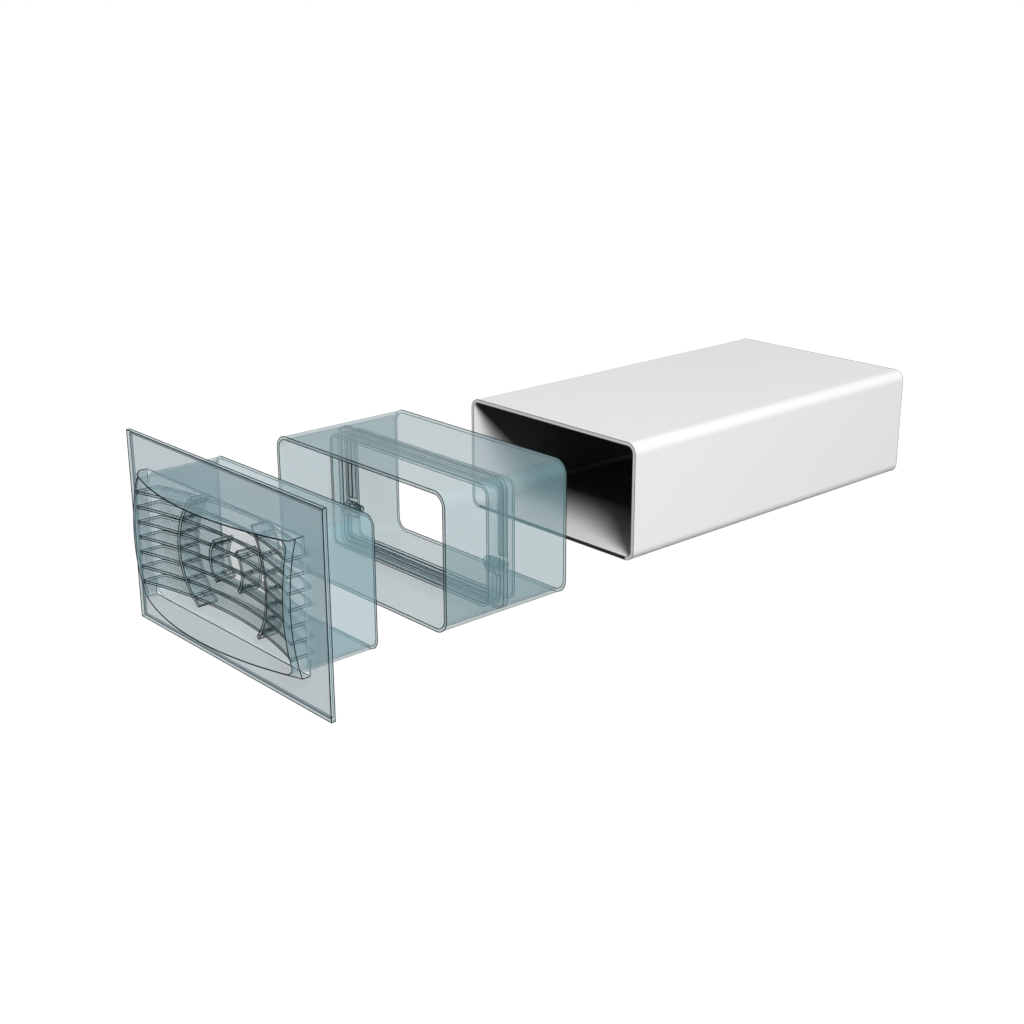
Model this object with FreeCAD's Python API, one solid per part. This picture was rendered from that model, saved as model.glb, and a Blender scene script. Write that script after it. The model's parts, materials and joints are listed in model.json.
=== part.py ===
import FreeCAD, Part
import math
import os

# Flat-duct ventilation outlet, drawn apart along its axis: a louvred grille with a spigot,
# a connector with a spring-closed non-return flap, and a length of flat duct.
# Millimetres. X is the width, +Y runs from the room into the wall, +Z is up.
# The origin is the centre of the connector's front rim, in the plane of the wall's face.

vec = FreeCAD.Vector

# Flat duct
duct_width = 110.0
duct_height = 55.0
duct_length = 200.0
duct_wall = 1.6
duct_corner = 5.0

# Spigot of the grille, a little larger than the duct
spigot_step_side = 0.6
spigot_step_top = 0.4
spigot_wall = 1.1
spigot_corner = 5.0
spigot_length = 31.4

# Connector sleeve that takes the spigot in front and the duct behind
socket_play_side = 1.0
socket_play_top = 0.7
sleeve_wall = 1.4
sleeve_bore_corner = 5.0
sleeve_length = 66.0

# How far apart the three modules stand
grille_stand_off = 64.2
duct_stand_off = 44.8

# Damper frame: a web across the sleeve with a collar before and behind it
running_gap = 0.3
bond_gap = 0.05
web_thickness = 2.0
collar_depth = 14.2
collar_wall = 1.2
collar_corner = 4.5

# Flap between its two stop rails
flap_thickness = 0.8
flap_gap = 0.5
flap_offset = 0.85
seat_gap = 0.1
rail_height = 2.5
rail_thickness = 2.2
rail_end_gap = 4.3

# Pivots of the flap, below the middle of the frame
pivot_drop = 9.8
pin_radius = 1.2
pin_play = 0.05
pin_end_gap = 0.4
bush_radius = 2.4
bush_length = 3.4
saddle_radius = 4.0
barrel_radius = 2.2
barrel_length = 2.8
barrel_end = 0.6
grip_gap = 0.03

# Return spring round each pin
spring_turns = 3.5
spring_wire = 0.45
spring_pitch = 0.52
spring_clearance = 0.33
spring_side_gap = 0.2
spring_runs = 14
spring_sides = 8

# Face plate: a thin flat skin with a low rim behind it, all round its edge
plate_width = 140.0
plate_height = 84.0
plate_skin = 0.7
rim_width = 1.2
rim_depth = 1.0

# Louvre surround that stands out of the plate with a domed front
surround_wall_side = 2.0
surround_wall_top = 1.05
dome_rise = 17.5
dome_radius_across = 172.5
dome_radius_upright = 110.3

# Bevel round that front: its width, how far its outer edge lies behind the dome, and how many
# widths long it is made before the dome ends it
bevel_width_top = 0.85
bevel_width_side = 1.7
bevel_depth_top = 2.73
bevel_depth_side = 1.28
bevel_depth_corner = 1.2
bevel_run = 3.0

# Dished slats
slat_count = 7
slat_pitch = 6.58
slat_thickness = 1.0
slat_depth = 10.1
slat_corner = 1.5
slat_seat = 0.3
slat_fit = 0.1
dish_radius = 192.0

# Two broken rings that tie the slats together
ring_outer_radius = 32.4
ring_inner_radius = 12.3
ring_wall = 1.4
ring_depth = 8.6
ring_half_angle = 46.8
ring_fit = 0.06

# Widths, heights and places that follow from the values above
spigot_width = duct_width + 2 * spigot_step_side
spigot_height = duct_height + 2 * spigot_step_top
bore_width = spigot_width - 2 * spigot_wall
bore_height = spigot_height - 2 * spigot_wall
bore_corner = spigot_corner - spigot_wall
socket_width = spigot_width + 2 * socket_play_side
socket_height = spigot_height + 2 * socket_play_top
collar_width = bore_width - 2 * running_gap
collar_height = bore_height - 2 * running_gap
throat_width = collar_width - 2 * collar_wall
throat_height = collar_height - 2 * collar_wall
throat_corner = collar_corner - collar_wall
frame_middle = sleeve_length / 2
flap_plane = frame_middle + flap_offset
pivot_height = -pivot_drop
plate_back = -grille_stand_off
skin_back = plate_back - rim_depth
plate_front = skin_back - plate_skin
spigot_end = plate_back + spigot_length
duct_front = sleeve_length + duct_stand_off
surround_width = bore_width + 2 * surround_wall_side
surround_height = bore_height + 2 * surround_wall_top
dome_front = plate_front - dome_rise
dish_centre = plate_back - dish_radius
slat_half = bore_width / 2 + slat_seat
spring_mean_radius = pin_radius + spring_clearance + spring_wire / 2
spring_length = spring_turns * spring_pitch + spring_wire
bush_inner_end = throat_width / 2 - bush_length
barrel_outer_end = bush_inner_end - spring_length - 2 * spring_side_gap
barrel_inner_end = barrel_outer_end - barrel_length
grip_end = barrel_outer_end - barrel_end


def rounded_rectangle(width, height, corner, y):
    """Closed wire of a rectangle with round corners, upright in the plane at y."""
    half_w = width / 2
    half_h = height / 2
    lean = corner * math.sqrt(0.5)
    edges = []
    for sx, sz in ((1, 1), (-1, 1), (-1, -1), (1, -1)):
        on_side = vec(sx * half_w, y, sz * (half_h - corner))
        on_top = vec(sx * (half_w - corner), y, sz * half_h)
        middle = vec(sx * (half_w - corner + lean), y, sz * (half_h - corner + lean))
        first, last = (on_side, on_top) if sx * sz > 0 else (on_top, on_side)
        edges.append((first, middle, last))
    wire_edges = []
    for index, (first, middle, last) in enumerate(edges):
        wire_edges.append(Part.Arc(first, middle, last).toShape())
        following = edges[(index + 1) % len(edges)][0]
        wire_edges.append(Part.makeLine(last, following))
    return Part.Wire(wire_edges)


def rounded_block(width, height, corner, y_start, length):
    """Solid bar along Y with round edges."""
    face = Part.Face(rounded_rectangle(width, height, corner, y_start))
    return face.extrude(vec(0, length, 0))


def rounded_tube(width, height, corner, wall, y_start, length):
    """Rectangular tube along Y with round edges and an even wall."""
    outside = rounded_block(width, height, corner, y_start, length)
    inside = rounded_block(width - 2 * wall, height - 2 * wall, corner - wall, y_start, length)
    return outside.cut(inside)


def box(low, high):
    """Box between two corners."""
    size = vec(*high) - vec(*low)
    return Part.makeBox(size.x, size.y, size.z, vec(*low))


def rod(radius, x_start, x_end):
    """Round bar on the flap's pivot axis."""
    low = min(x_start, x_end)
    return Part.makeCylinder(radius, abs(x_end - x_start), vec(low, flap_plane, pivot_height), vec(1, 0, 0))


def export(node, shape):
    """Write one named piece to its STEP file."""
    shape.exportStep("parts/" + node + ".step")


# ---- Grille ----

def dished_band(front_offset, rear_offset, z_low, z_high):
    """Slab between two upright cylinders about the dish's axis, hollow towards the room."""
    base = vec(0, dish_centre, z_low)
    height = z_high - z_low
    outer = Part.makeCylinder(dish_radius + rear_offset, height, base)
    inner = Part.makeCylinder(dish_radius + front_offset, height, base)
    return outer.cut(inner)


def slat_height(index):
    """Height of a slat's middle plane, counted from the top."""
    return ((slat_count - 1) / 2 - index) * slat_pitch


def plain_slat(index, front_offset, rear_offset, swell):
    """Dished band of one slat between the given depths, thickened by swell on each face."""
    z_middle = slat_height(index)
    z_low = z_middle - slat_thickness / 2 - swell
    z_high = z_middle + slat_thickness / 2 + swell
    band = dished_band(front_offset, rear_offset, z_low, z_high)
    reach = dish_radius / 2
    front_half = box((-slat_half, plate_back - reach, z_low), (slat_half, plate_back + reach, z_high))
    return band.common(front_half)


def round_rear_corners(slat):
    """Round the two upright edges at the back of a slat's ends."""
    half_way_back = dish_centre + math.sqrt((dish_radius + slat_depth / 2) ** 2 - slat_half ** 2)
    corners = []
    for edge in slat.Edges:
        span = edge.BoundBox
        upright = span.XLength < 0.01 and span.YLength < 0.01
        at_end = abs(abs(edge.CenterOfMass.x) - slat_half) < 0.01
        at_rear = edge.CenterOfMass.y > half_way_back
        if upright and at_end and at_rear:
            corners.append(edge)
    return slat.makeFillet(slat_corner, corners)


def ring_arc(radius, side, front_offset, rear_offset, swell):
    """One half of a broken ring: an arc about the duct's axis with dished front and rear edges."""
    spread = math.radians(ring_half_angle)
    y_start = plate_back - 2 * slat_depth

    def at(distance, angle):
        return vec(side * distance * math.cos(angle), y_start, distance * math.sin(angle))

    far = radius + swell
    near = radius - ring_wall - swell
    outline = Part.Wire([
        Part.Arc(at(far, -spread), at(far, 0), at(far, spread)).toShape(),
        Part.makeLine(at(far, spread), at(near, spread)),
        Part.Arc(at(near, spread), at(near, 0), at(near, -spread)).toShape(),
        Part.makeLine(at(near, -spread), at(far, -spread)),
    ])
    sector = Part.Face(outline).extrude(vec(0, 4 * slat_depth, 0))
    return sector.common(dished_band(front_offset, rear_offset, -radius - 1, radius + 1))


def ring_arcs():
    """The four arcs with their names."""
    return {
        "outer_ring_left": (ring_outer_radius, -1),
        "outer_ring_right": (ring_outer_radius, 1),
        "inner_ring_left": (ring_inner_radius, -1),
        "inner_ring_right": (ring_inner_radius, 1),
    }


def louvre_slat(index):
    """Slat with a notch open to the front wherever a ring crosses it."""
    slat = round_rear_corners(plain_slat(index, 0, slat_depth, 0))
    for radius, side in ring_arcs().values():
        slat = slat.cut(ring_arc(radius, side, -1, ring_depth / 2 + ring_fit, ring_fit))
    return slat


def louvre_ring(radius, side):
    """Ring arc with a notch open to the back wherever a slat crosses it."""
    arc = ring_arc(radius, side, 0, ring_depth, 0)
    for index in range(slat_count):
        arc = arc.cut(plain_slat(index, ring_depth / 2, slat_depth, ring_fit))
    return arc


def slat_seats(y_start, y_end):
    """Pockets in the side walls that take the ends of all the slats."""
    pockets = []
    for index in range(slat_count):
        z_middle = slat_height(index)
        half = slat_thickness / 2 + slat_fit
        for side in (-1, 1):
            x_ends = sorted((side * (bore_width / 2 - 1), side * (slat_half + slat_fit)))
            pockets.append(box((x_ends[0], y_start, z_middle - half), (x_ends[1], y_end, z_middle + half)))
    return Part.makeCompound(pockets)


def dome():
    """Barrel whose front bulges across and upright, to trim the surround with."""
    half = surround_height
    axis_y = dome_front + dome_radius_across
    edge_y = dome_front + dome_radius_upright - math.sqrt(dome_radius_upright ** 2 - half ** 2)
    outline = Part.Wire([
        Part.Arc(vec(0, edge_y, -half), vec(0, dome_front, 0), vec(0, edge_y, half)).toShape(),
        Part.makeLine(vec(0, edge_y, half), vec(0, axis_y, half)),
        Part.makeLine(vec(0, axis_y, half), vec(0, axis_y, -half)),
        Part.makeLine(vec(0, axis_y, -half), vec(0, edge_y, -half)),
    ])
    return Part.Face(outline).revolve(vec(0, axis_y, 0), vec(0, 0, 1), 360)


def on_dome(x, z):
    """Point of the dome's front at a place across and up."""
    sag = dome_radius_upright - math.sqrt(dome_radius_upright ** 2 - z ** 2)
    y = dome_front + dome_radius_across - math.sqrt((dome_radius_across - sag) ** 2 - x ** 2)
    return vec(x, y, z)


def arched_section(points):
    """Closed flat wire: an arch through three points behind, straight sides and front before it."""
    first, middle, last = points
    front = dome_front - surround_height
    sides = [last, vec(last.x, front, last.z), vec(first.x, front, first.z), first]
    return Part.Wire([Part.Arc(first, middle, last).toShape()] + Part.makePolygon(sides).Edges)


def bevel_wedge(side, upright):
    """Wedge in front of one bevel, which runs straight from its outer edge through the dome."""
    half_w = surround_width / 2
    half_h = surround_height / 2
    width, depth = (bevel_width_side, bevel_depth_side) if upright else (bevel_width_top, bevel_depth_top)
    behind = []
    before = []
    for along, edge_depth in ((-1, bevel_depth_corner), (0, depth), (1, bevel_depth_corner)):
        if upright:
            edge = on_dome(side * half_w, along * half_h)
            crossing = on_dome(side * (half_w - width), along * half_h)
        else:
            edge = on_dome(along * half_w, side * half_h)
            crossing = on_dome(along * half_w, side * (half_h - width))
        edge += vec(0, edge_depth, 0)
        behind.append(edge - (crossing - edge))
        before.append(edge + (crossing - edge) * bevel_run)
    return Part.makeLoft([arched_section(behind), arched_section(before)], True, True)


def louvre_surround():
    """Frame that carries the slats and bulges out of the face plate, bevelled round its front."""
    half_w = surround_width / 2
    half_h = surround_height / 2
    block = box((-half_w, dome_front - 1, -half_h), (half_w, skin_back, half_h)).common(dome())
    for side in (-1, 1):
        block = block.cut(bevel_wedge(side, True)).cut(bevel_wedge(side, False))
    slat_front_end = dish_centre + math.sqrt(dish_radius ** 2 - slat_half ** 2)
    opening_depth = dome_rise + surround_height
    opening = rounded_block(bore_width, bore_height, bore_corner, dome_front - 1, opening_depth)
    return block.cut(opening).cut(slat_seats(slat_front_end - slat_fit, plate_back))


def face_plate():
    """Square-cornered cover plate: a skin, a rim behind its edge and the surround's opening."""
    half_w = plate_width / 2
    half_h = plate_height / 2
    slab = box((-half_w, plate_front, -half_h), (half_w, plate_back, half_h))
    hollow = box(
        (rim_width - half_w, skin_back, rim_width - half_h),
        (half_w - rim_width, plate_back, half_h - rim_width),
    )
    hole_w = surround_width / 2 + bond_gap
    hole_h = surround_height / 2 + bond_gap
    hole = box((-hole_w, plate_front, -hole_h), (hole_w, plate_back, hole_h))
    return slab.cut(hollow).cut(hole)


def grille_spigot():
    """Tube behind the grille that plugs into the connector; its mouth closes the slats' seats."""
    length = spigot_end - skin_back
    tube = rounded_tube(spigot_width, spigot_height, spigot_corner, spigot_wall, skin_back, length)
    slat_rear_end = dish_centre + math.sqrt((dish_radius + slat_depth) ** 2 - (bore_width / 2) ** 2)
    return tube.cut(slat_seats(skin_back, slat_rear_end + slat_fit))


# ---- Connector and flap ----

def connector_sleeve():
    """Plain sleeve with a socket at each end."""
    width = socket_width + 2 * sleeve_wall
    height = socket_height + 2 * sleeve_wall
    return rounded_tube(width, height, sleeve_bore_corner + sleeve_wall, sleeve_wall, 0, sleeve_length)


def saddle():
    """Half-round seat under the right-hand bush and spring, rooted in the collar's side."""
    root = throat_width / 2 + collar_wall / 2
    start = barrel_outer_end + spring_side_gap
    shell = rod(saddle_radius, start, root).cut(rod(bush_radius + bond_gap, start, throat_width / 2))
    below = box(
        (start, flap_plane - saddle_radius, pivot_height - saddle_radius),
        (root, flap_plane + saddle_radius, pivot_height),
    )
    return shell.common(below)


def mirrored(shape):
    """The same piece on the left-hand side."""
    return shape.mirror(vec(0, 0, 0), vec(1, 0, 0))


def damper_frame():
    """Web that fills the sleeve, the collars on both its sides and the two saddles."""
    web = rounded_block(
        socket_width - 2 * bond_gap,
        socket_height - 2 * bond_gap,
        sleeve_bore_corner - bond_gap,
        frame_middle - web_thickness / 2,
        web_thickness,
    )
    collar_start = frame_middle - collar_depth / 2
    collar = rounded_block(collar_width, collar_height, collar_corner, collar_start, collar_depth)
    throat = rounded_block(throat_width, throat_height, throat_corner, collar_start, collar_depth)
    ring = web.fuse(collar).cut(throat)
    return ring.fuse(saddle()).fuse(mirrored(saddle())).removeSplitter()


def stop_rail(upper):
    """U-shaped rail inside the collar: the upper one stands behind the flap, the lower one before it."""
    start = flap_plane + flap_thickness / 2 + seat_gap
    if not upper:
        start = flap_plane - flap_thickness / 2 - seat_gap - rail_thickness
    width = throat_width - 2 * bond_gap
    height = throat_height - 2 * bond_gap
    rail = rounded_tube(width, height, throat_corner - bond_gap, rail_height, start, rail_thickness)
    low = pivot_height if upper else -height
    high = height if upper else pivot_height
    half = rail.common(box((-width, start, low), (width, start + rail_thickness, high)))
    return half.cut(rod(rail_end_gap, -width, width))


def pivot_bush():
    """Right-hand bearing bush of the flap."""
    outside = rod(bush_radius, bush_inner_end, throat_width / 2)
    return outside.cut(rod(pin_radius + pin_play, bush_inner_end, throat_width / 2))


def pivot_pin():
    """Right-hand stub pin; the slit in its barrel grips the flap."""
    shaft = rod(pin_radius, barrel_outer_end, throat_width / 2 - pin_end_gap)
    barrel = rod(barrel_radius, barrel_inner_end, barrel_outer_end)
    half_slit = flap_thickness / 2 + grip_gap
    slit = box(
        (barrel_inner_end, flap_plane - half_slit, pivot_height - barrel_radius),
        (grip_end, flap_plane + half_slit, pivot_height + barrel_radius),
    )
    return shaft.fuse(barrel).cut(slit)


def return_spring():
    """Right-hand coil spring on the pin, between the barrel and the bush, bent in short straight runs."""
    start = barrel_outer_end + spring_side_gap + spring_wire / 2
    points = []
    for step in range(round(spring_turns * spring_runs) + 1):
        turned = step / spring_runs
        angle = 2 * math.pi * turned
        y = flap_plane + spring_mean_radius * math.cos(angle)
        z = pivot_height + spring_mean_radius * math.sin(angle)
        points.append(vec(start + spring_pitch * turned, y, z))
    wire = Part.Circle(points[0], points[1] - points[0], spring_wire / 2)
    corners = [wire.value(2 * math.pi * side / spring_sides) for side in range(spring_sides)]
    section = Part.makePolygon(corners + corners[:1])
    sharp_corners = 1
    return Part.makePolygon(points).makePipeShell([section], True, True, sharp_corners)


def damper_flap():
    """Thin sheet that closes the throat, notched round its pivots."""
    sheet = rounded_block(
        throat_width - 2 * flap_gap,
        throat_height - 2 * flap_gap,
        throat_corner - flap_gap,
        flap_plane - flap_thickness / 2,
        flap_thickness,
    )
    notch = box(
        (grip_end - grip_gap, flap_plane - flap_thickness, pivot_height - saddle_radius - running_gap),
        (throat_width, flap_plane + flap_thickness, pivot_height + bush_radius + running_gap),
    )
    return sheet.cut(notch).cut(mirrored(notch))


# ---- Duct ----

def flat_duct():
    """Length of rectangular duct with round edges."""
    return rounded_tube(duct_width, duct_height, duct_corner, duct_wall, duct_front, duct_length)


os.makedirs("parts", exist_ok=True)

export("face_plate", face_plate())
export("louvre_surround", louvre_surround())
export("grille_spigot", grille_spigot())
for number in range(slat_count):
    export("louvre_slat_" + str(number + 1), louvre_slat(number))
for name, (arc_radius, arc_side) in ring_arcs().items():
    export(name, louvre_ring(arc_radius, arc_side))

export("connector_sleeve", connector_sleeve())
export("damper_frame", damper_frame())
export("upper_stop_rail", stop_rail(True))
export("lower_stop_rail", stop_rail(False))
export("damper_flap", damper_flap())
paired = {"pivot_bush": pivot_bush, "pivot_pin": pivot_pin, "return_spring": return_spring}
for piece, make in paired.items():
    export(piece + "_right", make())
    export(piece + "_left", mirrored(make()))

export("flat_duct", flat_duct())
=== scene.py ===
import bpy
import bmesh
import json
import math
from mathutils import Matrix, Vector


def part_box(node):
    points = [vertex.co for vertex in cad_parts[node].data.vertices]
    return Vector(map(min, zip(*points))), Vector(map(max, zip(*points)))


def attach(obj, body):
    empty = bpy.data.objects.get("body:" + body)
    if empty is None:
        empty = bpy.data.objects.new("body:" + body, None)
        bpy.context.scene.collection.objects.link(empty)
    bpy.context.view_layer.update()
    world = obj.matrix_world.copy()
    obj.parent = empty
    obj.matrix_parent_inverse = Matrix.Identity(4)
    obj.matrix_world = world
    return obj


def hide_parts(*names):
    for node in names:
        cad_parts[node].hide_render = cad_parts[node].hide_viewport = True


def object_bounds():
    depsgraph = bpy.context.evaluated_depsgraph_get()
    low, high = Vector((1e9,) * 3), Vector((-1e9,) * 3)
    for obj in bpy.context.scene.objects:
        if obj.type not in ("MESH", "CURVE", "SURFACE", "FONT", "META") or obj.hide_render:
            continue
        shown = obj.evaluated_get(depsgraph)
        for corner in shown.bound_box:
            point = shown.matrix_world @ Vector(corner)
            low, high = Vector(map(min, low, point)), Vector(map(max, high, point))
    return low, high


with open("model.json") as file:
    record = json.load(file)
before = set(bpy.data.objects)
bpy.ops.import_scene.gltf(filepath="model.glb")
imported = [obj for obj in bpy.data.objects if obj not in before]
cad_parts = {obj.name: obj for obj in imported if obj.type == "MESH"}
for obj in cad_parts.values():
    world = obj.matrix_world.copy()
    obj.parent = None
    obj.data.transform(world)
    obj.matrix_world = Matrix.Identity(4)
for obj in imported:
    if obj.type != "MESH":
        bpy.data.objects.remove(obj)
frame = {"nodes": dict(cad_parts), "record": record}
nodes = frame["nodes"]
cadLow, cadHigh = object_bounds()
bodies = frame["record"]["behaviour"]["bodies"]
noiseBand = (0.3, 0.7)      # between these a noise texture nearly always lies
print("frame loaded,", len(nodes), "nodes")


# What every node tree below is made with

def newMaterial(name):
    mat = bpy.data.materials.new(name)
    mat.use_nodes = True
    mat.node_tree.nodes.clear()
    return mat, mat.node_tree


def addNode(tree, kind, at=(0, 0), **settings):
    node = tree.nodes.new(kind)
    node.location = at
    for key, value in settings.items():
        setattr(node, key, value)
    return node


def join(tree, fromSocket, toSocket):
    tree.links.new(fromSocket, toSocket)


def noiseOn(tree, coords, scale, detail, at):
    noise = addNode(tree, "ShaderNodeTexNoise", at)
    noise.inputs["Scale"].default_value = scale
    noise.inputs["Detail"].default_value = detail
    join(tree, coords, noise.inputs["Vector"])
    return noise


def remap(tree, value, low, high, newLow, newHigh, at):
    node = addNode(tree, "ShaderNodeMapRange", at)
    for socket, number in zip(("From Min", "From Max", "To Min", "To Max"), (low, high, newLow, newHigh)):
        node.inputs[socket].default_value = number
    join(tree, value, node.inputs["Value"])
    return node.outputs["Result"]


def blendColours(tree, factor, first, second, at):
    node = addNode(tree, "ShaderNodeMix", at, data_type="RGBA")
    node.inputs["A"].default_value = (*first, 1)
    node.inputs["B"].default_value = (*second, 1)
    join(tree, factor, node.inputs["Factor"])
    return node.outputs["Result"]


def mathNode(tree, operation, first, second, at):
    node = addNode(tree, "ShaderNodeMath", at, operation=operation)
    for socket, value in zip(node.inputs, (first, second)):
        if isinstance(value, (int, float)):
            socket.default_value = value
        else:
            join(tree, value, socket)
    return node.outputs[0]


def addOutput(tree, shader):
    out = addNode(tree, "ShaderNodeOutputMaterial", (200, 0))
    join(tree, shader.outputs["BSDF"], out.inputs["Surface"])


def newGeometryTree(name, inputs):
    tree = bpy.data.node_groups.new(name, "GeometryNodeTree")
    for socket, kind in {"Geometry": "Geometry", **inputs}.items():
        tree.interface.new_socket(socket, in_out="INPUT", socket_type="NodeSocket" + kind)
    tree.interface.new_socket("Geometry", in_out="OUTPUT", socket_type="NodeSocketGeometry")
    return tree, addNode(tree, "NodeGroupInput", (-900, 0)).outputs


def meshFromTree(mesh, tree, values):
    trial = bpy.data.objects.new("trial", mesh)
    bpy.context.scene.collection.objects.link(trial)
    modifier = trial.modifiers.new(tree.name, "NODES")
    modifier.node_group = tree
    for item in tree.interface.items_tree:
        if item.in_out == "INPUT" and item.name in values:
            modifier[item.identifier] = values[item.name]
    bpy.context.view_layer.update()
    evaluated = trial.evaluated_get(bpy.context.evaluated_depsgraph_get())
    made = bpy.data.meshes.new_from_object(evaluated)
    bpy.data.objects.remove(trial)
    bpy.data.meshes.remove(mesh)
    return made


# Clear tinted plastic of the grille and the connector

surroundLow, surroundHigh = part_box("louvre_surround")
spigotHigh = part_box("grille_spigot")[1]
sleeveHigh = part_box("connector_sleeve")[1]
clearPlastic = {
    "tint": (0.210, 0.345, 0.385),
    "opacity": 0.38,        # of one surface, so a wall has two of these
    "grazingOpacity": 0.9,
    "grazingBlend": 0.2,
    "grazingFrom": 0.35,
    "shadowLets": 0.9,      # share of that opacity which light from the lamps doesn't meet
    "roughness": 0.22,
    "roughShift": 0.2,
    "gloss": 0.25,
    "ior": 1.49,
    "flowScale": 45.0,      # faint streaks left by the moulding
    "flowStretch": (1, 0.25, 1),
    "flowShift": 0.06,
    "rimOpacity": 0.95,     # a round edge is denser where it turns away
    "rimBlend": 0.5,
    "rimFrom": 0.72,
    "rimTo": 0.82,
}
platePlastic = dict(clearPlastic, tint=(0.41, 0.57, 0.63), opacity=0.42)
louvrePlastic = dict(clearPlastic, tint=(0.26, 0.38, 0.40), opacity=0.33)
bottomWall = 0.0011     # the surround's, which is nearly clear
surroundPlastic = dict(clearPlastic, opacity=0.34, clearUnder=surroundLow.z + bottomWall,
                       clearBlur=0.00001, clearShare=0.08)
spigotCorner, sleeveCorner = 0.005, 0.0064
spigotPlastic = dict(clearPlastic, tint=(0.220, 0.385, 0.425),
                     roundEdge=(spigotHigh.x - spigotCorner, spigotHigh.z - spigotCorner))
sleevePlastic = dict(clearPlastic, tint=(0.195, 0.335, 0.365),
                     roundEdge=(sleeveHigh.x - sleeveCorner, sleeveHigh.z - sleeveCorner))
damperPlastic = dict(clearPlastic, opacity=0.22)
pivotPlastic = dict(clearPlastic, opacity=0.3)
flapSheet = dict(clearPlastic, tint=(0.8, 0.85, 0.87), opacity=0.01, grazingOpacity=0.1)


def turnedAway(tree, finish, place):
    across = mathNode(tree, "ABSOLUTE", place.outputs["X"], 0, (-700, 600))
    upright = mathNode(tree, "ABSOLUTE", place.outputs["Z"], 0, (-700, 450))
    across = mathNode(tree, "GREATER_THAN", across, finish["roundEdge"][0], (-550, 600))
    upright = mathNode(tree, "GREATER_THAN", upright, finish["roundEdge"][1], (-550, 450))
    rounded = mathNode(tree, "MULTIPLY", across, upright, (-400, 550))
    facing = addNode(tree, "ShaderNodeLayerWeight", (-900, 800))
    facing.inputs["Blend"].default_value = finish["rimBlend"]
    start, end = finish["rimFrom"], finish["rimTo"]
    share = remap(tree, facing.outputs["Facing"], start, end, 0, finish["rimOpacity"], (-700, 800))
    return mathNode(tree, "MULTIPLY", rounded, share, (-250, 600))


def makeClearPlastic(name, finish):
    mat, tree = newMaterial(name)
    coords = addNode(tree, "ShaderNodeTexCoord", (-1300, 0)).outputs["Object"]
    place = addNode(tree, "ShaderNodeSeparateXYZ", (-1100, 500))
    join(tree, coords, place.inputs["Vector"])

    stretch = addNode(tree, "ShaderNodeMapping", (-1100, 0))
    stretch.inputs["Scale"].default_value = finish["flowStretch"]
    join(tree, coords, stretch.inputs["Vector"])
    flow = noiseOn(tree, stretch.outputs["Vector"], finish["flowScale"], 3, (-900, 0)).outputs["Fac"]
    darker = [c * (1 - finish["flowShift"]) for c in finish["tint"]]
    lighter = [c * (1 + finish["flowShift"]) for c in finish["tint"]]
    colour = blendColours(tree, flow, darker, lighter, (-700, 200))
    smoother, rougher = (finish["roughness"] * (1 + way * finish["roughShift"]) for way in (-1, 1))
    roughness = remap(tree, flow, *noiseBand, smoother, rougher, (-450, 50))

    # Denser where a wall is seen along itself
    facing = addNode(tree, "ShaderNodeLayerWeight", (-900, -350))
    facing.inputs["Blend"].default_value = finish["grazingBlend"]
    dense = remap(tree, facing.outputs["Facing"], finish["grazingFrom"], 1,
                  finish["opacity"], finish["grazingOpacity"], (-700, -350))
    if "clearUnder" in finish:
        edge, blur = finish["clearUnder"], finish["clearBlur"]
        share = remap(tree, place.outputs["Z"], edge - blur, edge + blur,
                      finish["clearShare"], 1, (-700, -750))
        dense = mathNode(tree, "MULTIPLY", dense, share, (-450, -600))
    if "roundEdge" in finish:
        rim = turnedAway(tree, finish, place)
        dense = mathNode(tree, "MAXIMUM", dense, rim, (-450, -350))
    path = addNode(tree, "ShaderNodeLightPath", (-700, -950))
    passed = remap(tree, path.outputs["Is Shadow Ray"], 0, 1, 1, 1 - finish["shadowLets"], (-450, -850))

    shader = addNode(tree, "ShaderNodeBsdfPrincipled", (-50, 0))
    shader.inputs["IOR"].default_value = finish["ior"]
    shader.inputs["Specular IOR Level"].default_value = finish["gloss"]
    join(tree, colour, shader.inputs["Base Color"])
    join(tree, roughness, shader.inputs["Roughness"])
    join(tree, mathNode(tree, "MULTIPLY", dense, passed, (-250, -400)), shader.inputs["Alpha"])
    addOutput(tree, shader)
    return mat


# Painted shade: a dark bead laid along each sharp edge, for the dark line that an edge of clear plastic
# shows under light

edgeLine = {
    "colour": (0.012, 0.018, 0.022),
    "ductColour": (0.16, 0.16, 0.165),
    "sharperThan": 32.0,    # degrees between the two faces
    "grilleRadius": 0.00019,
    "connectorRadius": 0.00019,
    "pinRadius": 0.00014,
    "flapColour": (0.03, 0.04, 0.045),
    "flapRadius": 0.00014,
    "ductRadius": 0.00012,
    "sides": 6,
    "roughness": 0.6,
    "mottleScale": 60.0,
    "mottle": 0.15,
    "weld": 0.000004,
    "jointSlack": 0.00015,  # how near a joint between two pieces an edge belongs to the joint
    "seatReach": 0.0005,    # how far inside the slats' ends their seats are looked for
    "footReach": 0.0007,    # how far inside the surround's outside its inner foot ends
}


def makeEdgeShade(name, colour):
    mat, tree = newMaterial(name)
    coords = addNode(tree, "ShaderNodeTexCoord", (-900, 0)).outputs["Object"]
    noise = noiseOn(tree, coords, edgeLine["mottleScale"], 2, (-700, 0))
    darker, lighter = ([c * (1 + way * edgeLine["mottle"]) for c in colour] for way in (-1, 1))
    tone = blendColours(tree, noise.outputs["Fac"], darker, lighter, (-450, 0))
    shader = addNode(tree, "ShaderNodeBsdfPrincipled", (-150, 0))
    shader.inputs["Roughness"].default_value = edgeLine["roughness"]
    shader.inputs["Specular IOR Level"].default_value = 0
    join(tree, tone, shader.inputs["Base Color"])
    addOutput(tree, shader)
    return mat


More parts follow.
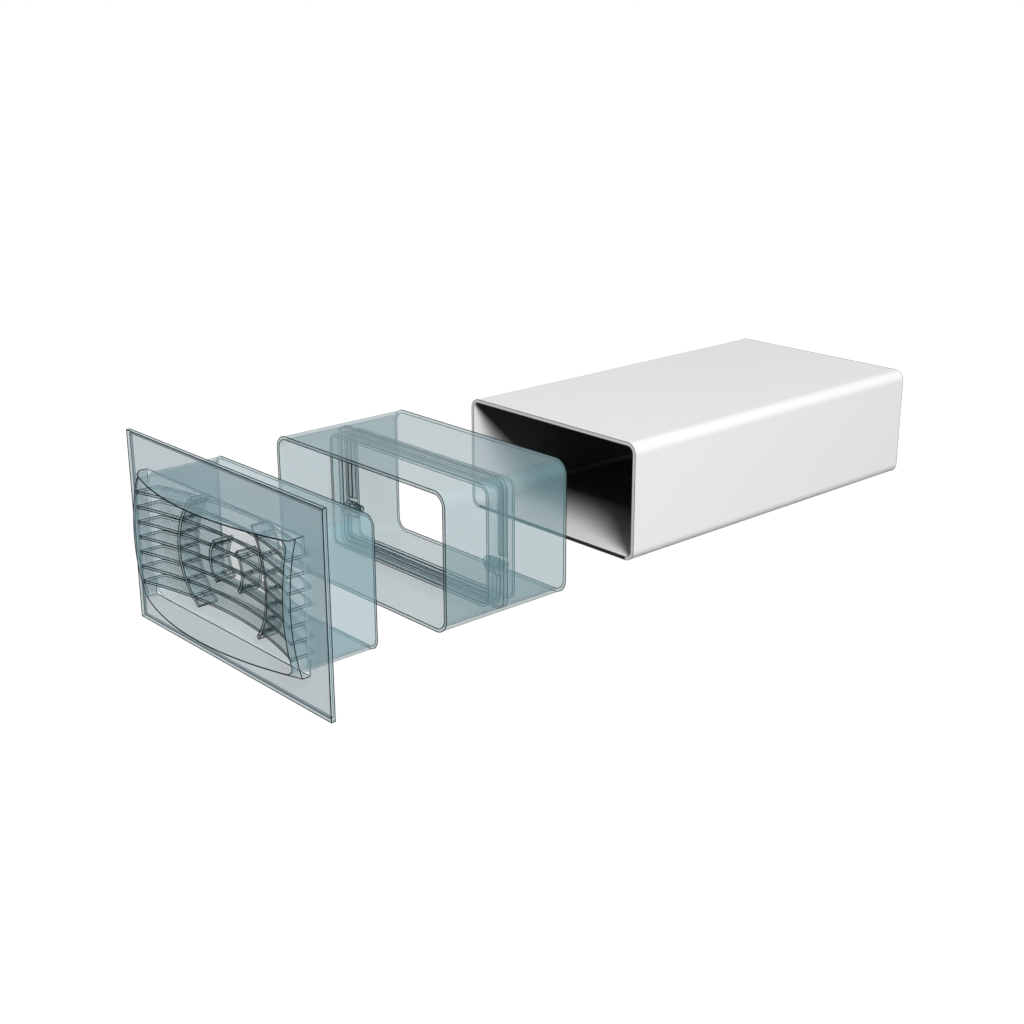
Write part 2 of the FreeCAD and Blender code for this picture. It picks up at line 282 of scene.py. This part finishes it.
def edgeLineTree():
    tree, given = newGeometryTree("edgeLines", {
        "Weld": "Float",
        "Sharper Than": "Float",
        "Radius": "Float",
        "Sides": "Int",
        "Material": "Material",
    })
    weld = addNode(tree, "GeometryNodeMergeByDistance", (-700, 0))
    angle = addNode(tree, "GeometryNodeInputMeshEdgeAngle", (-700, -200))
    sharp = addNode(tree, "FunctionNodeCompare", (-500, -200), data_type="FLOAT", operation="GREATER_THAN")
    hidden = addNode(tree, "GeometryNodeInputNamedAttribute", (-500, -400), data_type="BOOLEAN")
    hidden.inputs["Name"].default_value = "inJoint"
    shown = addNode(tree, "FunctionNodeBooleanMath", (-300, -450), operation="NIMPLY")
    lines = addNode(tree, "GeometryNodeMeshToCurve", (-300, 0))
    profile = addNode(tree, "GeometryNodeCurvePrimitiveCircle", (-300, -250))
    sweep = addNode(tree, "GeometryNodeCurveToMesh", (-100, 0))
    smooth = addNode(tree, "GeometryNodeSetShadeSmooth", (100, 0))
    paint = addNode(tree, "GeometryNodeSetMaterial", (300, 0))
    real = addNode(tree, "GeometryNodeRealizeInstances", (500, 0))
    out = addNode(tree, "NodeGroupOutput", (700, 0))
    sweep.inputs["Fill Caps"].default_value = True
    join(tree, given["Geometry"], weld.inputs["Geometry"])
    join(tree, given["Weld"], weld.inputs["Distance"])
    join(tree, angle.outputs["Unsigned Angle"], sharp.inputs["A"])
    join(tree, given["Sharper Than"], sharp.inputs["B"])
    join(tree, weld.outputs["Geometry"], lines.inputs["Mesh"])
    join(tree, sharp.outputs["Result"], shown.inputs[0])
    join(tree, hidden.outputs["Attribute"], shown.inputs[1])
    join(tree, shown.outputs[0], lines.inputs["Selection"])
    join(tree, given["Sides"], profile.inputs["Resolution"])
    join(tree, given["Radius"], profile.inputs["Radius"])
    join(tree, lines.outputs["Curve"], sweep.inputs["Curve"])
    join(tree, profile.outputs["Curve"], sweep.inputs["Profile Curve"])
    join(tree, sweep.outputs["Mesh"], smooth.inputs["Geometry"])
    join(tree, smooth.outputs["Geometry"], paint.inputs["Geometry"])
    join(tree, given["Material"], paint.inputs["Material"])
    join(tree, paint.outputs["Geometry"], real.inputs["Geometry"])
    join(tree, real.outputs["Geometry"], out.inputs["Geometry"])
    return tree


# The grille looks like one moulding: no line shows round the seats of the slats, nor where its pieces meet,
# but for the foot of the surround above and below the slats

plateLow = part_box("face_plate")[0]
slatLow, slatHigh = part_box("louvre_slat_1")
slack = edgeLine["jointSlack"]
foot = surroundHigh.y
seatTop = slatHigh.z + 3 * slack
seatSides = (slatHigh.x - edgeLine["seatReach"], slatHigh.x + 2 * slack)
joints = {
    "face_plate": (
        ((0, plateLow.y - slack, 0), (surroundHigh.x + slack, foot + slack, surroundHigh.z + slack)),
    ),
    "louvre_surround": (
        ((0, foot - slack, 0), (surroundHigh.x + slack, foot + slack, seatTop)),
        ((0, foot - slack, 0), (slatHigh.x, foot + slack, surroundHigh.z - edgeLine["footReach"])),
        ((seatSides[0], slatLow.y - 2 * slack, 0), (seatSides[1], foot + slack, seatTop)),
    ),
    "grille_spigot": (
        ((0, foot - slack, 0), (surroundHigh.x, foot + slack, surroundHigh.z + slack)),
        ((seatSides[0], foot - slack, 0), (seatSides[1], slatHigh.y + slack, seatTop)),
    ),
}


def markJoints(node, mesh):
    work = bmesh.new()
    work.from_mesh(mesh)
    for height in (-seatTop, seatTop):
        everything = work.verts[:] + work.edges[:] + work.faces[:]
        bmesh.ops.bisect_plane(work, geom=everything, plane_co=(0, 0, height), plane_no=(0, 0, 1))
    flag = work.edges.layers.bool.new("inJoint")
    for edge in work.edges:
        middle = (edge.verts[0].co + edge.verts[1].co) / 2
        place = (abs(middle.x), middle.y, abs(middle.z))
        for low, high in joints.get(node, ()):
            if all(a <= b <= c for a, b, c in zip(low, place, high)):
                edge[flag] = True
    work.to_mesh(mesh)
    work.free()


def sharpEdgesOf(node, tree, radius, mat):
    mesh = nodes[node].data.copy()
    markJoints(node, mesh)
    return meshFromTree(mesh, tree, {
        "Weld": edgeLine["weld"],
        "Sharper Than": math.radians(edgeLine["sharperThan"]),
        "Radius": radius,
        "Sides": edgeLine["sides"],
        "Material": mat,
    })


def edgeLinesOn(body, pieceName, radius, mat, tree, leaveOut=()):
    together = bmesh.new()
    for node in bodies[body]:
        if not node.startswith(leaveOut):
            lines = sharpEdgesOf(node, tree, radius, mat)
            together.from_mesh(lines)
            bpy.data.meshes.remove(lines)
    mesh = bpy.data.meshes.new(pieceName)
    together.to_mesh(mesh)
    together.free()
    mesh.materials.clear()
    mesh.materials.append(mat)
    piece = bpy.data.objects.new(pieceName, mesh)
    bpy.context.scene.collection.objects.link(piece)
    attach(piece, body)
    return piece


# White duct, bright outside, with painted shade that dims the inside of the bore

whiteDuct = {
    "colour": (0.87, 0.87, 0.875),
    "roughness": 0.35,
    "roughShift": 0.05,
    "gloss": 0.1,
    "mottleScale": 25.0,
    "mottle": 0.006,
    "cornerRadius": 0.005,
    "halfWall": 0.0008,
    "reach": 1.0,           # how far in the bore the painted shade leaves the colour lit, as a share of the depth below its roof
    "falloff": 0.5,
    "deepShade": 0.11,
    "sillShade": 0.02,      # painted shade on the end of the bottom wall, between the round edges
    "sillDepth": 0.00002,
    "leastDrop": 0.0001,    # keeps the depth under the roof above nothing
}


def makeWhitePlastic(name):
    mat, tree = newMaterial(name)
    coords = addNode(tree, "ShaderNodeTexCoord", (-2100, 0)).outputs["Object"]
    noise = noiseOn(tree, coords, whiteDuct["mottleScale"], 0, (-1000, 0)).outputs["Fac"]
    colour = whiteDuct["colour"]
    outer = blendColours(tree, noise, [c * (1 - whiteDuct["mottle"]) for c in colour], colour, (-700, 0))
    smoother, rougher = (whiteDuct["roughness"] * (1 + way * whiteDuct["roughShift"]) for way in (-1, 1))
    roughness = remap(tree, noise, *noiseBand, smoother, rougher, (-700, -250))

    # How far a place lies from the line its round edge is struck from: less in the bore than outside
    low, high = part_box("flat_duct")
    corner, half = whiteDuct["cornerRadius"], whiteDuct["halfWall"]
    flat = addNode(tree, "ShaderNodeVectorMath", (-1900, -450), operation="MULTIPLY")
    flat.inputs[1].default_value = (1, 0, 1)
    quarter = addNode(tree, "ShaderNodeVectorMath", (-1750, -450), operation="ABSOLUTE")
    fromCorner = addNode(tree, "ShaderNodeVectorMath", (-1600, -450), operation="SUBTRACT")
    fromCorner.inputs[1].default_value = (high.x - corner, 0, high.z - corner)
    outwards = addNode(tree, "ShaderNodeVectorMath", (-1450, -450), operation="MAXIMUM")
    span = addNode(tree, "ShaderNodeVectorMath", (-1300, -450), operation="LENGTH")
    join(tree, coords, flat.inputs[0])
    join(tree, flat.outputs["Vector"], quarter.inputs[0])
    join(tree, quarter.outputs["Vector"], fromCorner.inputs[0])
    join(tree, fromCorner.outputs["Vector"], outwards.inputs[0])
    join(tree, outwards.outputs["Vector"], span.inputs[0])
    bore = mathNode(tree, "LESS_THAN", span.outputs["Value"], corner - half, (-1150, -450))

    # Painted shade in the bore: the colour darkens with the depth from the nearer end against the distance
    # under the roof of the bore
    place = addNode(tree, "ShaderNodeSeparateXYZ", (-1900, -850))
    join(tree, coords, place.inputs["Vector"])
    along = mathNode(tree, "SUBTRACT", place.outputs["Y"], (low.y + high.y) / 2, (-1700, -850))
    along = mathNode(tree, "ABSOLUTE", along, 0, (-1550, -850))
    depth = mathNode(tree, "SUBTRACT", (high.y - low.y) / 2, along, (-1400, -850))
    under = mathNode(tree, "SUBTRACT", high.z - 2 * half, place.outputs["Z"], (-1400, -1050))
    under = mathNode(tree, "MAXIMUM", under, whiteDuct["leastDrop"], (-1250, -1050))
    share = mathNode(tree, "DIVIDE", depth, under, (-1100, -850))
    lit = remap(tree, share, 0, whiteDuct["reach"], 1, 0, (-950, -850))
    lit = mathNode(tree, "POWER", lit, whiteDuct["falloff"], (-750, -850))
    # painted shade: the base colour falls to deepShade deep in the bore
    borePaintedShade = remap(tree, lit, 0, 1, whiteDuct["deepShade"], 1, (-600, -850))

    # Painted shade: the end of the bottom wall, between the round edges, is darkened
    sill = mathNode(tree, "LESS_THAN", place.outputs["Z"], low.z + 2 * half, (-1400, -1250))
    apart = mathNode(tree, "ABSOLUTE", place.outputs["X"], 0, (-1400, -1400))
    straight = mathNode(tree, "LESS_THAN", apart, high.x - corner, (-1250, -1400))
    atEnd = mathNode(tree, "LESS_THAN", place.outputs["Y"], low.y + whiteDuct["sillDepth"], (-1400, -1550))
    sill = mathNode(tree, "MULTIPLY", sill, straight, (-1100, -1250))
    sill = mathNode(tree, "MULTIPLY", sill, atEnd, (-950, -1250))

    shade = addNode(tree, "ShaderNodeMix", (-450, -500), data_type="FLOAT")
    shade.inputs["A"].default_value = 1
    join(tree, bore, shade.inputs["Factor"])
    join(tree, borePaintedShade, shade.inputs["B"])
    withSill = addNode(tree, "ShaderNodeMix", (-300, -500), data_type="FLOAT")
    withSill.inputs["B"].default_value = whiteDuct["sillShade"]
    join(tree, sill, withSill.inputs["Factor"])
    join(tree, shade.outputs["Result"], withSill.inputs["A"])
    tone = addNode(tree, "ShaderNodeVectorMath", (-300, 0), operation="SCALE")
    join(tree, outer, tone.inputs[0])
    join(tree, withSill.outputs["Result"], tone.inputs["Scale"])
    shader = addNode(tree, "ShaderNodeBsdfPrincipled", (-150, 0))
    shader.inputs["Specular IOR Level"].default_value = whiteDuct["gloss"]
    join(tree, tone.outputs["Vector"], shader.inputs["Base Color"])
    join(tree, roughness, shader.inputs["Roughness"])
    addOutput(tree, shader)
    return mat


# Coil springs round the flap's pins

returnSpring = {
    "turns": 3.5,
    "wire": 0.00045,
    "stepsPerTurn": 40,
    "wireSides": 12,
    "darkSteel": (0.10, 0.11, 0.12),
    "brightSteel": (0.30, 0.32, 0.33),
    "roughness": 0.3,
    "drawnLines": 400.0,
}


def makeSpringWire(name):
    mat, tree = newMaterial(name)
    coords = addNode(tree, "ShaderNodeTexCoord", (-900, 0)).outputs["Object"]
    noise = noiseOn(tree, coords, returnSpring["drawnLines"], 2, (-700, 0))
    dark, bright = returnSpring["darkSteel"], returnSpring["brightSteel"]
    tone = blendColours(tree, noise.outputs["Fac"], dark, bright, (-450, 0))
    shader = addNode(tree, "ShaderNodeBsdfPrincipled", (-150, 0))
    shader.inputs["Metallic"].default_value = 1
    shader.inputs["Roughness"].default_value = returnSpring["roughness"]
    join(tree, tone, shader.inputs["Base Color"])
    addOutput(tree, shader)
    return mat


def springTree():
    tree, given = newGeometryTree("springPair", {
        "Turns": "Float",
        "Steps": "Int",
        "Coil Radius": "Float",
        "Coil Length": "Float",
        "Wire Radius": "Float",
        "Wire Sides": "Int",
        "Place": "Vector",
        "Material": "Material",
    })
    coil = addNode(tree, "GeometryNodeCurveSpiral", (-700, 0))
    alongX = addNode(tree, "GeometryNodeTransform", (-500, 0))
    alongX.inputs["Rotation"].default_value = (math.pi / 2, 0, math.pi / 2)
    profile = addNode(tree, "GeometryNodeCurvePrimitiveCircle", (-500, -350))
    sweep = addNode(tree, "GeometryNodeCurveToMesh", (-300, 0))
    sweep.inputs["Fill Caps"].default_value = True
    otherSide = addNode(tree, "GeometryNodeTransform", (-100, -250))
    otherSide.inputs["Scale"].default_value = (-1, 1, 1)
    flip = addNode(tree, "GeometryNodeFlipFaces", (100, -250))
    pair = addNode(tree, "GeometryNodeJoinGeometry", (300, 0))
    smooth = addNode(tree, "GeometryNodeSetShadeSmooth", (450, 0))
    real = addNode(tree, "GeometryNodeRealizeInstances", (600, 0))
    paint = addNode(tree, "GeometryNodeSetMaterial", (750, 0))
    out = addNode(tree, "NodeGroupOutput", (900, 0))
    join(tree, given["Steps"], coil.inputs["Resolution"])
    join(tree, given["Turns"], coil.inputs["Rotations"])
    join(tree, given["Coil Radius"], coil.inputs["Start Radius"])
    join(tree, given["Coil Radius"], coil.inputs["End Radius"])
    join(tree, given["Coil Length"], coil.inputs["Height"])
    join(tree, coil.outputs["Curve"], alongX.inputs["Geometry"])
    join(tree, given["Place"], alongX.inputs["Translation"])
    join(tree, given["Wire Sides"], profile.inputs["Resolution"])
    join(tree, given["Wire Radius"], profile.inputs["Radius"])
    join(tree, alongX.outputs["Geometry"], sweep.inputs["Curve"])
    join(tree, profile.outputs["Curve"], sweep.inputs["Profile Curve"])
    join(tree, sweep.outputs["Mesh"], otherSide.inputs["Geometry"])
    join(tree, otherSide.outputs["Geometry"], flip.inputs["Mesh"])
    join(tree, flip.outputs["Mesh"], pair.inputs["Geometry"])
    join(tree, sweep.outputs["Mesh"], pair.inputs["Geometry"])
    join(tree, pair.outputs["Geometry"], smooth.inputs["Geometry"])
    join(tree, smooth.outputs["Geometry"], real.inputs["Geometry"])
    join(tree, real.outputs["Geometry"], paint.inputs["Geometry"])
    join(tree, given["Material"], paint.inputs["Material"])
    join(tree, paint.outputs["Geometry"], out.inputs["Geometry"])
    return tree


def coiledSprings(mat):
    low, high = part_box("return_spring_right")
    wire = returnSpring["wire"]
    middle = (low + high) / 2
    mesh = meshFromTree(bpy.data.meshes.new("seed"), springTree(), {
        "Turns": returnSpring["turns"],
        "Steps": returnSpring["stepsPerTurn"],
        "Coil Radius": (high.y - low.y - wire) / 2,
        "Coil Length": high.x - low.x - wire,
        "Wire Radius": wire / 2,
        "Wire Sides": returnSpring["wireSides"],
        "Place": (low.x + wire / 2, middle.y, middle.z),
        "Material": mat,
    })
    springs = bpy.data.objects.new("coiledSprings", mesh)
    bpy.context.scene.collection.objects.link(springs)
    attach(springs, "connector")
    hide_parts("return_spring_left", "return_spring_right")


def dress(node, mat):
    nodes[node].data.materials.clear()
    nodes[node].data.materials.append(mat)


spigotMat = makeClearPlastic("spigotPlastic", spigotPlastic)
surroundMat = makeClearPlastic("surroundPlastic", surroundPlastic)
louvreMat = makeClearPlastic("louvrePlastic", louvrePlastic)
plateMat = makeClearPlastic("platePlastic", platePlastic)
connectorMat = makeClearPlastic("connectorPlastic", sleevePlastic)
damperMat = makeClearPlastic("damperPlastic", damperPlastic)
pivotMat = makeClearPlastic("pivotPlastic", pivotPlastic)
flapMat = makeClearPlastic("flapSheet", flapSheet)
wireMat = makeSpringWire("springWire")
ductMat = makeWhitePlastic("whitePlastic")

for node in bodies["grille"]:
    dress(node, louvreMat)
dress("face_plate", plateMat)
dress("louvre_surround", surroundMat)
dress("grille_spigot", spigotMat)
dress("connector_sleeve", connectorMat)
for node in ("damper_frame", "upper_stop_rail", "lower_stop_rail"):
    dress(node, damperMat)
for side in ("left", "right"):
    dress("pivot_bush_" + side, pivotMat)
    dress("pivot_pin_" + side, pivotMat)
    dress("return_spring_" + side, wireMat)     # hidden behind the smooth coils
dress("damper_flap", flapMat)
dress("flat_duct", ductMat)
print("materials made")

# Painted shade: dark beads along the sharp edges of each body, grey ones on the white duct
lineTree = edgeLineTree()
darkLine = makeEdgeShade("darkEdge", edgeLine["colour"])
ductLine = makeEdgeShade("ductEdge", edgeLine["ductColour"])
edgeLinesOn("grille", "grilleEdges", edgeLine["grilleRadius"], darkLine, lineTree)
edgeLinesOn("connector", "connectorEdges", edgeLine["connectorRadius"], darkLine, lineTree,
            ("return_spring",))
edgeLinesOn("flap", "pinEdges", edgeLine["pinRadius"], darkLine, lineTree, ("damper_flap",))
flapLine = makeEdgeShade("flapEdge", edgeLine["flapColour"])
edgeLinesOn("flap", "flapEdges", edgeLine["flapRadius"], flapLine, lineTree, ("pivot_pin",))
edgeLinesOn("duct", "ductEdges", edgeLine["ductRadius"], ductLine, lineTree)
print("edge lines made")

coiledSprings(wireMat)
print("springs made")


# Stage: floor, lamps and camera

stage = {
    "floorDrop": 0.40,
    "floorSize": 12.0,
    "floorColour": (0.10, 0.10, 0.10),
    "floorRoughness": 0.9,
    "floorGlow": 0.955,              # near the object, so its shadow stays
    "glowFades": (0.8, 2.0),
    "ambient": 0.15,
    "keyDirection": (0.72, -0.36, 0.595),
    "keyDistance": 2.5,
    "keySize": 0.9,
    "keyPower": 70.0,
    "fillDirection": (-0.8, 0.55, 0.12),    # keeps the far sides from going black
    "fillDistance": 2.5,
    "fillSize": 1.5,
    "fillPower": 22.0,
    "clearLayers": 64,      # how many clear surfaces one line of sight may pass
}

view = {
    "aim": (0.0535, 0.0394, 0.0125),
    "distance": 0.64,
    "azimuth": 48.007,
    "elevation": 18.806,
    "roll": -0.139,
    "lens": 54.795,
    "sensor": 36.0,
    "clipStart": 0.01,
}


def seenPlainly(tree, at):
    path = addNode(tree, "ShaderNodeLightPath", at)
    seen = path.outputs["Is Camera Ray"]
    for step, ray in enumerate(("Is Glossy Ray", "Is Transmission Ray"), 1):
        seen = mathNode(tree, "MAXIMUM", seen, path.outputs[ray], (at[0] + 200 * step, at[1]))
    return seen


def makeFloor():
    half = stage["floorSize"] / 2
    height = cadLow.z - stage["floorDrop"]
    mesh = bpy.data.meshes.new("floor")
    corners = [(x * half, y * half, height) for x, y in ((-1, -1), (1, -1), (1, 1), (-1, 1))]
    mesh.from_pydata(corners, [], [(0, 1, 2, 3)])
    floor = bpy.data.objects.new("floor", mesh)
    bpy.context.scene.collection.objects.link(floor)
    mat, tree = newMaterial("paleFloor")
    plain = seenPlainly(tree, (-900, -200))
    coords = addNode(tree, "ShaderNodeTexCoord", (-900, -500)).outputs["Object"]
    away = addNode(tree, "ShaderNodeVectorMath", (-700, -500), operation="LENGTH")
    join(tree, coords, away.inputs[0])
    near, far = stage["glowFades"]
    white = remap(tree, away.outputs["Value"], near, far, stage["floorGlow"], 1, (-500, -500))
    glow = mathNode(tree, "MULTIPLY", plain, white, (-250, -200))
    shader = addNode(tree, "ShaderNodeBsdfPrincipled", (0, 0))
    shader.inputs["Base Color"].default_value = (*stage["floorColour"], 1)
    shader.inputs["Roughness"].default_value = stage["floorRoughness"]
    shader.inputs["Specular IOR Level"].default_value = 0
    shader.inputs["Emission Color"].default_value = (1, 1, 1, 1)
    join(tree, glow, shader.inputs["Emission Strength"])
    addOutput(tree, shader)
    mesh.materials.append(mat)


def makeWorld():
    world = bpy.data.worlds.new("studio")
    bpy.context.scene.world = world
    world.use_nodes = True
    tree = world.node_tree
    tree.nodes.clear()
    plain = seenPlainly(tree, (-900, 0))
    strength = remap(tree, plain, 0, 1, stage["ambient"], 1, (-250, 0))
    back = addNode(tree, "ShaderNodeBackground", (0, 0))
    join(tree, strength, back.inputs["Strength"])
    back.inputs["Color"].default_value = (1, 1, 1, 1)
    out = addNode(tree, "ShaderNodeOutputWorld", (200, 0))
    join(tree, back.outputs["Background"], out.inputs["Surface"])


def makeLamp(name):
    lamp = bpy.data.lights.new(name + "Lamp", "AREA")
    lamp.shape = "DISK"
    lamp.size = stage[name + "Size"]
    lamp.energy = stage[name + "Power"]
    thing = bpy.data.objects.new(name + "Lamp", lamp)
    bpy.context.scene.collection.objects.link(thing)
    toLamp = Vector(stage[name + "Direction"]).normalized()
    thing.location = (cadLow + cadHigh) / 2 + toLamp * stage[name + "Distance"]
    thing.rotation_mode = "QUATERNION"
    thing.rotation_quaternion = toLamp.to_track_quat("Z", "Y")
    return thing


def makeCamera():
    azimuth, elevation = math.radians(view["azimuth"]), math.radians(view["elevation"])
    forward = Vector((-math.sin(azimuth) * math.cos(elevation),
                      math.cos(azimuth) * math.cos(elevation),
                      -math.sin(elevation)))
    right = Vector((math.cos(azimuth), math.sin(azimuth), 0))
    up = right.cross(forward)
    turn = Matrix((right, up, -forward)).transposed() @ Matrix.Rotation(math.radians(view["roll"]), 3, "Z")
    camera = bpy.data.objects.new("camera", bpy.data.cameras.new("camera"))
    bpy.context.scene.collection.objects.link(camera)
    camera.data.lens = view["lens"]
    camera.data.sensor_width = view["sensor"]
    camera.data.clip_start = view["clipStart"]
    camera.rotation_mode = "QUATERNION"
    camera.location = Vector(view["aim"]) - forward * view["distance"]
    camera.rotation_quaternion = turn.to_quaternion()
    bpy.context.scene.camera = camera


makeFloor()
makeWorld()
makeLamp("key")
makeLamp("fill").visible_glossy = False
makeCamera()
bpy.context.scene.view_settings.view_transform = "Standard"
bpy.context.scene.cycles.transparent_max_bounces = stage["clearLayers"]
print("stage ready")
